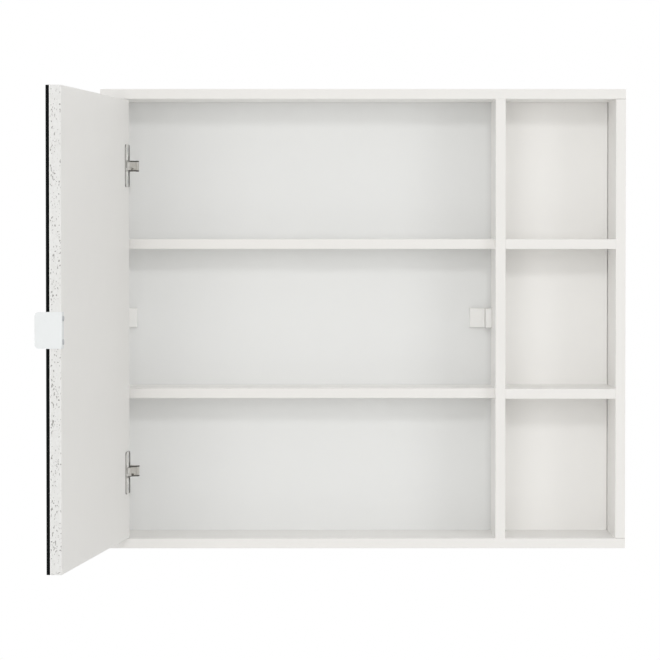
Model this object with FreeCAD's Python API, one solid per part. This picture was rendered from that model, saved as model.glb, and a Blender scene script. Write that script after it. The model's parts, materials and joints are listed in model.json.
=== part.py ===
import FreeCAD, Part
import math
import os

# Wall mirror cabinet in millimetres, +Z up. The front faces -Y and the wall is the plane Y = 0.
# The origin lies on the wall, midway between the entry holes of the two hanger plates.
# The door stands open at rest, as far as door_open_angle says.

Vector = FreeCAD.Vector
up = Vector(0, 0, 1)
to_wall = Vector(0, 1, 0)
to_right = Vector(1, 0, 0)

# Carcass
cabinet_width = 800.0
cabinet_height = 700.0
cabinet_depth = 160.0
board = 15.0
niche_width = 168.0
shelf_rows = 2
left_shelf_setback = 24.0
edge_round = 0.6

# Back panel: a thick field with a shadow gap round it, and a thin tongue that slides in grooves
back_field = 4.0
back_tongue = 3.0
rear_recess = 6.0
shadow_gap = 1.1
tongue_reach = 6.0
tongue_gap = 0.15
groove_bottom_gap = 0.5

# Door
door_board = 15.0
mirror_tape = 1.0
mirror_glass = 5.0
glass_bevel = 0.5
hinge_side_gap = 3.5
free_side_gap = 3.2
door_end_gap = 2.0
door_open_angle = 96.0

# Handle on the free edge of the door
handle_height = 50.0
handle_sheet = 1.2
handle_grip = 15.7
handle_corner = 6.0
handle_tab_length = 13.0
handle_bend = 1.1
handle_screw_spacing = 32.0
handle_screw_head = 3.8
handle_screw_rise = 1.6

# Cup hinges: heights and the cup in the door
hinge_from_door_end = 100.0
cup_edge_distance = 3.0
cup_diameter = 35.0
cup_depth = 12.5
cup_wall = 0.8
cup_bore_gap = 0.05
cup_cheek_length = 6.8
cup_notch_depth = 2.6
cup_slot_reach = 15.2
cup_slot_margin = 0.5
flange_length = 64.0
flange_rim = 1.0
flange_corner = 5.0
flange_sheet = 1.4
cup_screw_spacing = 48.0

# Cup hinges: pivots. Arm pivots are measured from the side panel's inner face and the cabinet front,
# cup pivots from the door's hinge edge and its inner face.
inner_arm_pivot_across = 27.07
inner_arm_pivot_deep = 10.64
outer_arm_pivot_across = 39.85
outer_arm_pivot_deep = 21.64
inner_cup_pivot_from_edge = 7.27
inner_cup_pivot_sunk = 4.06
outer_cup_pivot_from_edge = 7.25
outer_cup_pivot_sunk = 1.0
inner_link_turn = 80.256

# Cup hinges: links, arm and pins
link_sheet = 1.5
link_bend = 1.6
knee_clearance = 2.4
knee_past_rim = 1.3
knee_past_edge = 0.4
inner_link_width = 3.0
outer_link_width = 9.0
link_gap = 0.4
broad_reach = 13.0
arm_side_gap = 0.4
arm_sheet = 1.5
cup_pin_radius = 1.0
cup_eye_wall = 0.8
inner_arm_pin_radius = 1.2
outer_arm_pin_radius = 1.4
outer_pin_play = 0.4
arm_eye_wall = 1.1
arm_boss_wall = 1.4
pin_fit = 0.05
pin_seat = 2.3
arm_web_height = 13.0
arm_foot = 2.7
arm_tail_end = 86.0
arm_crank_start = 46.0

# Cup hinges: mounting plate
plate_sheet = 2.5
plate_ridge = 9.0
plate_ridge_gap = 0.5
plate_front = 38.0
plate_end = 88.0
plate_width = 20.0
plate_wing_length = 16.0
plate_wing_centre = 53.0
plate_wing_span = 48.0
plate_screw_spacing = 32.0
arm_lock_screw_deep = 74.0
arm_set_screw_deep = 54.0

# Corner brackets between the back panel and the two uprights of the left compartment
bracket_leg = 33.5
bracket_height = 30.0
bracket_sheet = 2.5
bracket_rise = 9.4
bracket_cap_sheet = 1.4
bracket_cap_round = 1.2
bracket_fit = 0.2
bracket_from_top = 351.5

# Keyhole hanger plates let into the rear edges of the two sides
hanger_from_top = 62.0
hanger_length = 56.0
hanger_width = 13.0
hanger_sheet = 1.5
hanger_entry_radius = 4.5
hanger_slot_radius = 2.4
hanger_slot_rise = 11.0
hanger_screw_spacing = 46.0
hanger_pocket_depth = 9.0
hanger_pocket_margin = 0.8

# Fasteners
screw_fit = 0.05
cup_screw_radius = 1.75
cup_screw_length = 12.0
plate_screw_radius = 2.0
plate_screw_length = 13.0
small_screw_radius = 1.5
small_screw_length = 11.0
arm_screw_radius = 2.2
head_ratio = 2.0
carcass_screw_radius = 3.0
carcass_screw_head = 4.8
carcass_screw_length = 49.0
carcass_screw_sunk = 0.4
carcass_screw_inset = 42.0
screw_cap_radius = 6.3
screw_cap_height = 0.9
dowel_radius = 4.0
dowel_reach = 20.0
dowel_side_depth = 10.0
dowel_front_inset = 58.0
dowel_back_inset = 26.0
dowel_fit = 0.05

# Places that follow from the sizes above
left_outer = -cabinet_width / 2
right_outer = cabinet_width / 2
left_inner = left_outer + board
right_inner = right_outer - board
niche_left = right_inner - niche_width
compartment_right = niche_left - board
front = -cabinet_depth
top_outer = hanger_from_top
bottom_outer = top_outer - cabinet_height
top_inner = top_outer - board
bottom_inner = bottom_outer + board
tongue_back = -rear_recess
tongue_front = tongue_back - back_tongue
back_face = tongue_front - back_field
bay_height = (top_inner - bottom_inner - shelf_rows * board) / (shelf_rows + 1)
shelf_bottoms = [bottom_inner + bay_height + row * (bay_height + board) for row in range(shelf_rows)]
dowel_depths = (front + dowel_front_inset, back_face - dowel_back_inset)
screw_depths = (front + carcass_screw_inset, back_face - carcass_screw_inset)
upright_centres = (left_outer + board / 2, niche_left - board / 2, right_outer - board / 2)

door_left = left_inner + hinge_side_gap
door_right = compartment_right - free_side_gap
door_bottom = bottom_inner + door_end_gap
door_top = top_inner - door_end_gap
door_inner_face = front + door_board
tape_front = front - mirror_tape
mirror_front = tape_front - mirror_glass
door_middle = (door_top + door_bottom) / 2
hinge_heights = {
    "upper": door_top - hinge_from_door_end,
    "lower": door_bottom + hinge_from_door_end,
}

cup_radius = cup_diameter / 2
cup_centre = Vector(door_left + cup_edge_distance + cup_radius, door_inner_face, 0)
inner_arm_pivot = Vector(left_inner + inner_arm_pivot_across, front + inner_arm_pivot_deep, 0)
outer_arm_pivot = Vector(left_inner + outer_arm_pivot_across, front + outer_arm_pivot_deep, 0)
inner_cup_pivot = Vector(door_left + inner_cup_pivot_from_edge, door_inner_face - inner_cup_pivot_sunk, 0)
outer_cup_pivot = Vector(door_left + outer_cup_pivot_from_edge, door_inner_face - outer_cup_pivot_sunk, 0)
# The two links of a hinge lie one above the other: the narrow inner one below, the broad outer one above.
links_half = (inner_link_width + link_gap + outer_link_width) / 2
inner_link_span = (-links_half, -links_half + inner_link_width)
outer_link_span = (links_half - outer_link_width, links_half)
both_links_span = (-links_half, links_half)
arm_inside = links_half + arm_side_gap
arm_half = arm_inside + arm_sheet


def turned(point, centre, degrees):
    # A point turned about a vertical axis.
    angle = math.radians(degrees)
    arm = point - centre
    x = arm.x * math.cos(angle) - arm.y * math.sin(angle)
    y = arm.x * math.sin(angle) + arm.y * math.cos(angle)
    return centre + Vector(x, y, arm.z)


inner_cup_pivot_open = turned(inner_cup_pivot, inner_arm_pivot, inner_link_turn)


def swung_point(point):
    # Where a point of the closed door lies at rest.
    return turned(point, inner_cup_pivot, -door_open_angle) + inner_cup_pivot_open - inner_cup_pivot


def swung(shape):
    # A piece of the closed door carried out to the rest pose.
    moved = shape.copy()
    moved.rotate(inner_cup_pivot, up, -door_open_angle)
    moved.translate(inner_cup_pivot_open - inner_cup_pivot)
    return moved


def box(x0, x1, y0, y1, z0, z1):
    return Part.makeBox(x1 - x0, y1 - y0, z1 - z0, Vector(x0, y0, z0))


def rod(centre, axis, radius, start, end):
    # A round bar along an axis, from start to end as measured from the centre.
    return Part.makeCylinder(radius, end - start, centre + axis * start, axis)


def pin(centre, radius, span):
    # An upright pin or eye that fills a span of heights.
    return rod(centre, up, radius, span[0], span[1])


def widened(span, extra):
    return span[0] - extra, span[1] + extra


def plate(points, span):
    # A flat plate with straight sides that fills a span of heights.
    outline = [Vector(point.x, point.y, span[0]) for point in points]
    return Part.Face(Part.makePolygon(outline + outline[:1])).extrude(up * (span[1] - span[0]))


def link_band(first, first_radius, second, second_radius, span):
    # A plate that wraps two round bosses, like a chain link seen from above.
    run = (second - first).normalize()
    side = up.cross(run)
    sides = (first + side * first_radius, second + side * second_radius,
             second - side * second_radius, first - side * first_radius)
    band = plate(sides, span)
    return band.fuse([pin(first, first_radius, span), pin(second, second_radius, span)]).removeSplitter()


def strip_side(points, bend, shift):
    # The edges of one side of a bent strip, moved sideways from the strip's middle line.
    runs = [(after - before).normalize() for before, after in zip(points, points[1:])]
    sides = [up.cross(run) * shift for run in runs]
    edges = []
    start = points[0] + sides[0]
    for index, corner in enumerate(points[1:-1]):
        back = -runs[index]
        ahead = runs[index + 1]
        half_angle = back.getAngle(ahead) / 2
        tangent = bend / math.tan(half_angle)
        middle = (back + ahead).normalize()
        centre = corner + middle * (bend / math.sin(half_angle))
        arrive = corner + back * tangent + sides[index]
        leave = corner + ahead * tangent + sides[index + 1]
        crown = centre - middle * (arrive - centre).Length
        edges.append(Part.LineSegment(start, arrive).toShape())
        edges.append(Part.Arc(arrive, crown, leave).toShape())
        start = leave
    end = points[-1] + sides[-1]
    edges.append(Part.LineSegment(start, end).toShape())
    return edges, points[0] + sides[0], end


def bent_strip(points, bend, thickness, span):
    # A strip of sheet bent about vertical axes, its middle line through the points.
    low = [Vector(point.x, point.y, span[0]) for point in points]
    left, left_start, left_end = strip_side(low, bend, thickness / 2)
    right, right_start, right_end = strip_side(low, bend, -thickness / 2)
    ends = ((left_start, right_start), (left_end, right_end))
    caps = [Part.LineSegment(first, second).toShape() for first, second in ends]
    outline = Part.Wire(Part.__sortEdges__(left + right + caps))
    return Part.Face(outline).extrude(up * (span[1] - span[0]))


def rounded(shape, radius, choose):
    # Fillets the edges that choose picks.
    edges = [edge for edge in shape.Edges if choose(edge)]
    return shape.makeFillet(radius, edges)


def along(edge, axis):
    # Whether an edge is straight and runs along the axis.
    if edge.Curve.TypeId != "Part::GeomLine":
        return False
    return abs(edge.tangentAt(edge.FirstParameter).dot(axis)) > 0.999


def eased_board(x0, x1, y0, y1, z0, z1, length_axis):
    # A board whose two long front edges are slightly rounded by the edge band.
    def front_edge(edge):
        return along(edge, length_axis) and abs(edge.CenterOfMass.y - y0) < edge_round / 2
    return rounded(box(x0, x1, y0, y1, z0, z1), edge_round, front_edge)


def countersunk_screw(seat, axis, radius, length):
    # A flat-headed screw: the head's rim lies at the seat, and the shank runs along the axis.
    head = radius * head_ratio
    cone_length = head - radius
    cone = Part.makeCone(head, radius, cone_length, seat, axis)
    shank = rod(seat, axis, radius, cone_length, length - radius)
    point = Part.makeCone(radius, radius / 4, radius, seat + axis * (length - radius), axis)
    return cone.fuse([shank, point]).removeSplitter()


def pan_head_screw(seat, axis, radius, length, head, rise):
    # A round-headed screw: the head stands on the seat, and the shank runs along the axis.
    def crown(edge):
        return (edge.CenterOfMass - seat).dot(axis) < -rise / 2 and edge.Closed
    button = rounded(rod(seat, -axis, head, 0, rise), rise / 2, crown)
    shank = rod(seat, axis, radius, 0, length - radius)
    point = Part.makeCone(radius, radius / 4, radius, seat + axis * (length - radius), axis)
    return button.fuse([shank, point]).removeSplitter()


def screws_at(seats, axis, radius, length):
    return [countersunk_screw(seat, axis, radius, length) for seat in seats]


def screw_holes_at(seats, axis, radius, length):
    return screws_at(seats, axis, radius + screw_fit, length + screw_fit)


# Carcass joints: screws through the top and bottom panels, dowels in the shelf ends

def carcass_screw(x, y, level, inward, fit):
    # A carcass screw driven from the outer face of the top or bottom panel towards the inside.
    seat = Vector(x, y, level)
    head = rod(seat, inward, carcass_screw_head + fit, carcass_screw_sunk - fit, board / 4)
    shank = rod(seat, inward, carcass_screw_radius + fit, board / 4, carcass_screw_length + fit)
    return head.fuse(shank).removeSplitter()


def carcass_screws(level, inward, fit):
    return [carcass_screw(x, y, level, inward, fit) for x in upright_centres for y in screw_depths]


def carcass_screw_holes(level, inward):
    # The holes also open through the face, so that the heads can be driven in.
    mouths = [rod(Vector(x, y, level), inward, carcass_screw_head + screw_fit, 0, board / 4)
              for x in upright_centres for y in screw_depths]
    return carcass_screws(level, inward, screw_fit) + mouths


def screw_cap(x, y, level, outward):
    # A domed plastic cap over a screw head.
    seat = Vector(x, y, level)
    disc = rod(seat, outward, screw_cap_radius, 0, screw_cap_height)
    plug = rod(seat, outward, carcass_screw_head - screw_fit, -carcass_screw_sunk + screw_fit, 0)

    def rim(edge):
        return abs((edge.CenterOfMass - seat).dot(outward) - screw_cap_height) < screw_fit
    return rounded(disc, screw_cap_height * 0.8, rim).fuse(plug).removeSplitter()


def shelf_dowels(row, fit):
    # The dowels of one shelf row: short ones in the sides, long ones right through the divider.
    height = shelf_bottoms[row] + board / 2
    spans = (
        (left_inner - dowel_side_depth, left_inner + dowel_reach),
        (compartment_right - dowel_reach, niche_left + dowel_reach),
        (right_inner - dowel_reach, right_inner + dowel_side_depth),
    )
    return [rod(Vector(0, y, height), to_right, dowel_radius + fit, start - fit, end + fit)
            for start, end in spans for y in dowel_depths]


def all_dowel_holes():
    return [hole for row in range(shelf_rows) for hole in shelf_dowels(row, dowel_fit)]


def tongue_groove():
    # The space that the back panel's tongue needs in the four outer boards.
    reach = tongue_reach + groove_bottom_gap
    return box(left_inner - reach, right_inner + reach, tongue_front - tongue_gap, tongue_back + tongue_gap,
               bottom_inner - reach, top_inner + reach)


def make_top_panel():
    panel = eased_board(left_outer, right_outer, front, 0, top_inner, top_outer, to_right)
    return panel.cut([tongue_groove()] + carcass_screw_holes(top_outer, -up))


def make_bottom_panel():
    panel = eased_board(left_outer, right_outer, front, 0, bottom_outer, bottom_inner, to_right)
    return panel.cut([tongue_groove()] + carcass_screw_holes(bottom_outer, up))


def upright_holes():
    screws = carcass_screws(top_outer, -up, screw_fit) + carcass_screws(bottom_outer, up, screw_fit)
    return screws + all_dowel_holes()


def make_side_panel(x0, x1):
    panel = eased_board(x0, x1, front, 0, bottom_inner, top_inner, up)
    panel = panel.cut([tongue_groove()] + upright_holes())
    return panel.cut(hanger_recess((x0 + x1) / 2))


def make_left_side_panel():
    panel = make_side_panel(left_outer, left_inner)
    holes = [bracket_screw_hole("left", "upright")]
    for height in hinge_heights.values():
        holes += screw_holes_at(plate_screw_seats(height), -to_right, plate_screw_radius, plate_screw_length)
    return panel.cut(holes)


def make_right_side_panel():
    return make_side_panel(right_inner, right_outer)


def make_divider_panel():
    panel = eased_board(compartment_right, niche_left, front, back_face, bottom_inner, top_inner, up)
    return panel.cut(upright_holes() + [bracket_screw_hole("right", "upright")])


def make_shelf(row, x0, x1, setback):
    low = shelf_bottoms[row]
    shelf = eased_board(x0, x1, front + setback, back_face, low, low + board, to_right)
    return shelf.cut(shelf_dowels(row, dowel_fit))


def make_back_panel():
    field = box(left_inner + shadow_gap, right_inner - shadow_gap, back_face, tongue_front,
                bottom_inner + shadow_gap, top_inner - shadow_gap)
    tongue = box(left_inner - tongue_reach, right_inner + tongue_reach, tongue_front, tongue_back,
                 bottom_inner - tongue_reach, top_inner + tongue_reach)
    panel = field.fuse(tongue).removeSplitter()
    return panel.cut([bracket_screw_hole(side, "back") for side in ("left", "right")])


# Door: board, adhesive layer and mirror, made closed and then swung to the rest pose

def make_door_board():
    panel = box(door_left, door_right, front, door_inner_face, door_bottom, door_top)

    def inner_rim(edge):
        return abs(edge.CenterOfMass.y - door_inner_face) < edge_round / 2
    panel = rounded(panel, edge_round, inner_rim)
    holes = []
    for height in hinge_heights.values():
        centre = cup_centre + up * height
        holes.append(rod(centre, -to_wall, cup_radius + cup_bore_gap, -edge_round, cup_depth + cup_bore_gap))
        holes += screw_holes_at(cup_screw_seats(height), -to_wall, cup_screw_radius, cup_screw_length)
    return swung(panel.cut(holes + handle_screw_holes()))


def make_mirror_tape():
    return swung(box(door_left, door_right, tape_front, front, door_bottom, door_top))


def make_mirror_glass():
    glass = box(door_left, door_right, mirror_front, tape_front, door_bottom, door_top)

    def front_rim(edge):
        return abs(edge.CenterOfMass.y - mirror_front) < glass_bevel / 2
    bevelled = glass.makeChamfer(glass_bevel, [edge for edge in glass.Edges if front_rim(edge)])
    return swung(bevelled)


# Handle: a plate on the door's free edge that reaches past the mirror, with a tab on the inner face

def handle_screw_seats():
    x = door_right - handle_tab_length / 2
    y = door_inner_face + handle_sheet
    return [Vector(x, y, door_middle + sign * handle_screw_spacing / 2) for sign in (-1, 1)]


def handle_screw_holes():
    return [rod(seat, -to_wall, small_screw_radius + screw_fit, 0, small_screw_length + screw_fit)
            for seat in handle_screw_seats()]


def make_door_handle():
    low = door_middle - handle_height / 2
    high = door_middle + handle_height / 2
    tab_back = door_inner_face + handle_sheet
    edge_plate = box(door_right, door_right + handle_sheet, mirror_front - handle_grip, tab_back, low, high)

    def grip_corner(edge):
        return along(edge, to_right) and edge.CenterOfMass.y < mirror_front
    edge_plate = rounded(edge_plate, handle_corner, grip_corner)
    tab = box(door_right - handle_tab_length, door_right + handle_sheet, door_inner_face, tab_back, low, high)

    def tab_corner(edge):
        return along(edge, to_wall) and edge.CenterOfMass.x < door_right
    tab = rounded(tab, handle_corner / 2, tab_corner)
    body = edge_plate.fuse(tab).removeSplitter()

    def outer_bend(edge):
        place = edge.CenterOfMass
        return (along(edge, up) and abs(place.y - tab_back) < handle_bend / 4
                and abs(place.x - door_right - handle_sheet) < handle_bend / 4)
    body = rounded(body, handle_bend, outer_bend)
    return swung(body.cut(handle_screw_holes()))


def make_handle_screws():
    screws = [pan_head_screw(seat, -to_wall, small_screw_radius, small_screw_length,
                             handle_screw_head, handle_screw_rise) for seat in handle_screw_seats()]
    return swung(Part.makeCompound(screws))


# Hinge cup, its pins and its screws ride on the door

def cup_screw_seats(height):
    seat = cup_centre + to_wall * flange_sheet + up * height
    return [seat + up * (sign * cup_screw_spacing / 2) for sign in (-1, 1)]


def cup_pins(fit):
    # A pin for each link, seated in the cheek of the cup beside it.
    seat = arm_inside + pin_seat + fit
    return [pin(inner_cup_pivot, cup_pin_radius + fit, (-seat, inner_link_span[1])),
            pin(outer_cup_pivot, cup_pin_radius + fit, (outer_link_span[0], seat))]


def make_hinge_cup(height):
    bowl = rod(cup_centre, -to_wall, cup_radius, -flange_sheet, cup_depth)
    flange_half = cup_radius + flange_rim
    flange = box(cup_centre.x - flange_half, cup_centre.x + flange_half,
                 cup_centre.y, cup_centre.y + flange_sheet, -flange_length / 2, flange_length / 2)

    def flange_edge(edge):
        return along(edge, to_wall)
    flange = rounded(flange, flange_corner, flange_edge)
    hollow = rod(cup_centre, -to_wall, cup_radius - cup_wall, 0, cup_depth - cup_wall)
    # Two solid cheeks at the hinge edge hold the pins, and the rim is notched between them for the links.
    cheek_start = door_left + cup_edge_distance
    cheek_end = cheek_start + cup_wall + cup_cheek_length
    cheeks = [box(cheek_start, cheek_end, cup_centre.y - cup_depth, cup_centre.y, low, high)
              for low, high in ((-cup_radius, -arm_inside), (arm_inside, cup_radius))]
    notch = box(cheek_start - 2 * flange_rim, cheek_end, cup_centre.y - cup_notch_depth,
                cup_centre.y + 2 * flange_sheet, -arm_inside, arm_inside)
    hollow = hollow.cut(cheeks)
    # The flange covers the hollow, but for a slot that takes the nose of the arm when the door is closed.
    slot_half = arm_half + cup_slot_margin
    slot = box(cheek_end, cup_centre.x + cup_slot_reach, cup_centre.y - flange_sheet,
               cup_centre.y + 2 * flange_sheet, -slot_half, slot_half).cut(cheeks)
    cup = bowl.fuse(flange).removeSplitter().cut([hollow, notch, slot] + cup_pins(pin_fit))
    holes = screw_holes_at(cup_screw_seats(0), -to_wall, cup_screw_radius, cup_screw_length)
    return swung(cup.cut(holes).translated(up * height))


def make_cup_pins(height):
    return swung(Part.makeCompound(cup_pins(0)).translated(up * height))


def make_cup_screws(height):
    screws = screws_at(cup_screw_seats(height), -to_wall, cup_screw_radius, cup_screw_length)
    return swung(Part.makeCompound(screws))


# Hinge links: bent strips that reach round the door's edge into the cup

def link_knees():
    # The two bends of the links, clear of the cup's rim and of the corner of the door's edge.
    rim = swung_point(Vector(door_left + cup_edge_distance + cup_wall, door_inner_face, 0))
    corner = swung_point(Vector(door_left, door_inner_face, 0))
    first_knee = rim + Vector(knee_clearance, -knee_past_rim, 0)
    second_knee = corner + Vector(knee_clearance, knee_past_edge, 0)
    return [first_knee, second_knee]


def make_link(cup_end, arm_end, span, arm_hole):
    # A bent strip with an eye at each end.
    strip = bent_strip([cup_end] + link_knees() + [arm_end], link_bend, link_sheet, span)
    cup_hole = cup_pin_radius + pin_fit
    eyes = [pin(cup_end, cup_hole + cup_eye_wall, span), pin(arm_end, arm_hole + arm_eye_wall, span)]
    through = widened(span, link_gap)
    holes = [pin(cup_end, cup_hole, through), pin(arm_end, arm_hole, through)]
    return strip.fuse(eyes).removeSplitter().cut(holes)


def make_inner_link(height):
    link = make_link(inner_cup_pivot_open, inner_arm_pivot, inner_link_span, inner_arm_pin_radius + pin_fit)
    return link.translated(up * height)


def make_outer_link(height):
    # Near its pin on the arm the link fills the whole channel, short of the inner link's eye.
    cup_end = swung_point(outer_cup_pivot)
    arm_hole = outer_arm_pin_radius + outer_pin_play
    link = make_link(cup_end, outer_arm_pivot, outer_link_span, arm_hole)
    broad = make_link(cup_end, outer_arm_pivot, both_links_span, arm_hole)
    broad = broad.common(pin(outer_arm_pivot, broad_reach, widened(both_links_span, link_gap)))
    return link.fuse(broad).removeSplitter().translated(up * height)


# Hinge arm: a cranked channel on the mounting plate

def arm_point(across, deep):
    return Vector(left_inner + across, front + deep, 0)


def arm_pins(fit):
    # The inner link's pin is seated in the cheek beside it, and the outer link's runs through both cheeks.
    return [pin(inner_arm_pivot, inner_arm_pin_radius + fit, (-arm_half, inner_link_span[1])),
            pin(outer_arm_pivot, outer_arm_pin_radius + fit, (-arm_half, arm_half))]


def make_hinge_arm(height):
    inner_boss = inner_arm_pin_radius + arm_boss_wall
    outer_boss = outer_arm_pin_radius + arm_boss_wall
    whole = (-arm_half, arm_half)
    nose = link_band(inner_arm_pivot, inner_boss, outer_arm_pivot, outer_boss, whole)
    crank_top = arm_point(outer_arm_pivot_across + outer_boss, outer_arm_pivot_deep)
    crank_back = crank_top + to_wall * (2 * outer_boss)
    tail_top = arm_point(arm_web_height, arm_crank_start)
    tail_end = arm_point(arm_web_height, arm_tail_end)
    foot_end = arm_point(arm_foot, arm_tail_end)
    foot_front = arm_point(arm_foot, arm_crank_start - outer_boss)
    throat = outer_arm_pivot - to_right * (2 * outer_boss)
    cheeks = plate([crank_top, crank_back, tail_top, tail_end, foot_end, foot_front, throat], whole)
    body = nose.fuse(cheeks).removeSplitter()
    # Between the cheeks only the sheet of the back, from the tail up to the crank, is left.
    aside = to_right * outer_boss
    hollow = [
        tail_end + Vector(-arm_sheet, arm_sheet, 0),
        tail_top - Vector(arm_sheet, arm_sheet / 2, 0),
        crank_back - Vector(arm_sheet, arm_sheet, 0),
        crank_top + aside,
        inner_arm_pivot + aside - to_wall * (2 * outer_boss),
        inner_arm_pivot - aside * 2 - to_wall * (2 * outer_boss),
        foot_front - aside,
        foot_end - aside + to_wall * arm_sheet,
    ]
    inside = plate(hollow, (-arm_inside, arm_inside))
    bore = arm_screw_radius + screw_fit
    bores = [rod(seat, -to_right, bore, -arm_sheet, 2 * arm_sheet) for seat in arm_screw_seats(0)]
    return body.cut([inside] + arm_pins(pin_fit) + bores).translated(up * height)


def make_arm_pins(height):
    return Part.makeCompound(arm_pins(0)).translated(up * height)


def arm_screw_seats(height):
    return (arm_point(arm_web_height, arm_lock_screw_deep) + up * height,
            arm_point(arm_web_height, arm_set_screw_deep) + up * height)


def make_arm_screws(height):
    # The locking screw clamps the arm to the plate, and the set screw bears on the plate's ridge.
    lock_seat, set_seat = arm_screw_seats(height)
    head = rod(lock_seat, to_right, arm_screw_radius * head_ratio, 0, arm_screw_radius)
    shank = rod(lock_seat, -to_right, arm_screw_radius, 0, arm_web_height - plate_sheet)
    slot_depth = arm_screw_radius / 2
    slot_half = arm_screw_radius / 6
    slot = box(lock_seat.x + arm_screw_radius - slot_depth, lock_seat.x + arm_screw_radius,
               lock_seat.y - arm_screw_radius * head_ratio, lock_seat.y + arm_screw_radius * head_ratio,
               height - slot_half, height + slot_half)
    lock = head.fuse(shank).removeSplitter().cut(slot)
    grub = rod(set_seat, -to_right, arm_screw_radius, -slot_depth, arm_web_height - plate_ridge)
    return Part.makeCompound([lock, grub])


# Mounting plate on the left side panel

def plate_screw_seats(height):
    centre = arm_point(plate_sheet, plate_wing_centre) + up * height
    return [centre + up * (sign * plate_screw_spacing / 2) for sign in (-1, 1)]


def make_mounting_plate(height):
    base = box(left_inner, left_inner + plate_sheet, front + plate_front, front + plate_end,
               -plate_width / 2, plate_width / 2)
    wing_front = front + plate_wing_centre - plate_wing_length / 2
    wing_back = front + plate_wing_centre + plate_wing_length / 2
    straight = plate_wing_span / 2 - plate_wing_length / 2
    wings = box(left_inner, left_inner + plate_sheet, wing_front, wing_back, -straight, straight)
    wing_centre = arm_point(0, plate_wing_centre)
    wing_ends = [rod(wing_centre + up * (sign * straight), to_right, plate_wing_length / 2, 0, plate_sheet)
                 for sign in (-1, 1)]
    ridge_half = arm_inside - plate_ridge_gap
    ridge = box(left_inner, left_inner + plate_ridge, front + plate_front, front + plate_end,
                -ridge_half, ridge_half)
    lock_seat, set_seat = arm_screw_seats(0)
    lock_depth = arm_web_height - plate_sheet + screw_fit
    holes = [rod(lock_seat, -to_right, arm_screw_radius + screw_fit, 0, lock_depth)]
    holes += screw_holes_at(plate_screw_seats(0), -to_right, plate_screw_radius, plate_screw_length)
    return base.fuse([wings, ridge] + wing_ends).removeSplitter().cut(holes).translated(up * height)


def make_plate_screws(height):
    screws = screws_at(plate_screw_seats(height), -to_right, plate_screw_radius, plate_screw_length)
    return Part.makeCompound(screws)


# Corner brackets: an angle of plastic with a cap over each leg

bracket_height_centre = top_outer - bracket_from_top
bracket_corners = {"left": (left_inner, 1), "right": (compartment_right, -1)}


def bracket_box(side, near, far, back, forward, low, high):
    # A box placed from a bracket's corner: away from the upright, and forward from the back panel.
    x, sense = bracket_corners[side]
    ends = sorted((x + sense * near, x + sense * far))
    return box(ends[0], ends[1], back_face - forward, back_face - back,
               bracket_height_centre + low, bracket_height_centre + high)


def bracket_screw(side, leg, radius, length):
    # The screw in the middle of a leg's free part, its head on the leg.
    x, sense = bracket_corners[side]
    middle = (bracket_rise + bracket_leg) / 2
    if leg == "upright":
        return countersunk_screw(Vector(x + sense * bracket_sheet, back_face - middle, bracket_height_centre),
                                 to_right * -sense, radius, length)
    return countersunk_screw(Vector(x + sense * middle, back_face - bracket_sheet, bracket_height_centre),
                             to_wall, radius, length)


def bracket_screw_lengths(leg):
    # The screw into the thin back panel ends inside it.
    if leg == "upright":
        return small_screw_length
    return bracket_sheet + back_field + back_tongue - 2 * screw_fit


def bracket_screw_hole(side, leg):
    return bracket_screw(side, leg, small_screw_radius + screw_fit, bracket_screw_lengths(leg) + screw_fit)


def make_corner_bracket(side):
    margin = bracket_cap_sheet + bracket_fit
    half = bracket_height / 2 - margin
    leg = bracket_leg - margin
    on_back = bracket_box(side, 0, leg, 0, bracket_sheet, -half, half)
    on_upright = bracket_box(side, 0, bracket_sheet, 0, leg, -half, half)
    inner = bracket_rise - margin
    corner = bracket_box(side, 0, inner, 0, inner, -half, half)
    core_half = half - bracket_sheet
    core = bracket_box(side, bracket_sheet, inner, bracket_sheet, inner, -core_half, core_half)
    body = on_back.fuse([on_upright, corner]).removeSplitter().cut(core)
    return body.cut([bracket_screw_hole(side, leg) for leg in ("back", "upright")])


def bracket_cap(side, leg):
    # A shallow lid: a box with a hollow under it that clears the leg and the screw head.
    half = bracket_height / 2
    inner_half = half - bracket_cap_sheet
    reach = bracket_leg - bracket_cap_sheet
    rise = bracket_rise - bracket_cap_sheet
    if leg == "back":
        lid = bracket_box(side, bracket_rise + bracket_fit, bracket_leg, 0, bracket_rise, -half, half)
        hollow = bracket_box(side, 0, reach, -bracket_fit, rise, -inner_half, inner_half)
        face = back_face - bracket_rise
    else:
        lid = bracket_box(side, 0, bracket_rise, 0, bracket_leg, -half, half)
        hollow = bracket_box(side, -bracket_fit, rise, -bracket_fit, reach, -inner_half, inner_half)
        mouth = bracket_box(side, rise - bracket_fit, bracket_leg, -bracket_fit, rise,
                            -inner_half, inner_half)
        hollow = hollow.fuse(mouth)
        face = back_face - bracket_leg

    def front_rim(edge):
        return abs(edge.CenterOfMass.y - face) < bracket_cap_round / 4
    return rounded(lid, bracket_cap_round, front_rim).cut(hollow)


def make_bracket_caps(side):
    return Part.makeCompound([bracket_cap(side, leg) for leg in ("back", "upright")])


def make_bracket_screws(side):
    return Part.makeCompound([bracket_screw(side, leg, small_screw_radius, bracket_screw_lengths(leg))
                              for leg in ("back", "upright")])


# Hanger plates with keyholes

def keyhole(x, entry_radius, slot_radius, near, far):
    # A round entry with a narrower slot that rises from it.
    entry = rod(Vector(x, 0, 0), to_wall, entry_radius, near, far)
    slot = box(x - slot_radius, x + slot_radius, near, far, 0, hanger_slot_rise)
    seat = rod(Vector(x, 0, hanger_slot_rise), to_wall, slot_radius, near, far)
    return entry.fuse([slot, seat]).removeSplitter()


def hanger_middle():
    # The plate is centred on its keyhole.
    return (hanger_slot_rise + hanger_slot_radius - hanger_entry_radius) / 2


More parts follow.
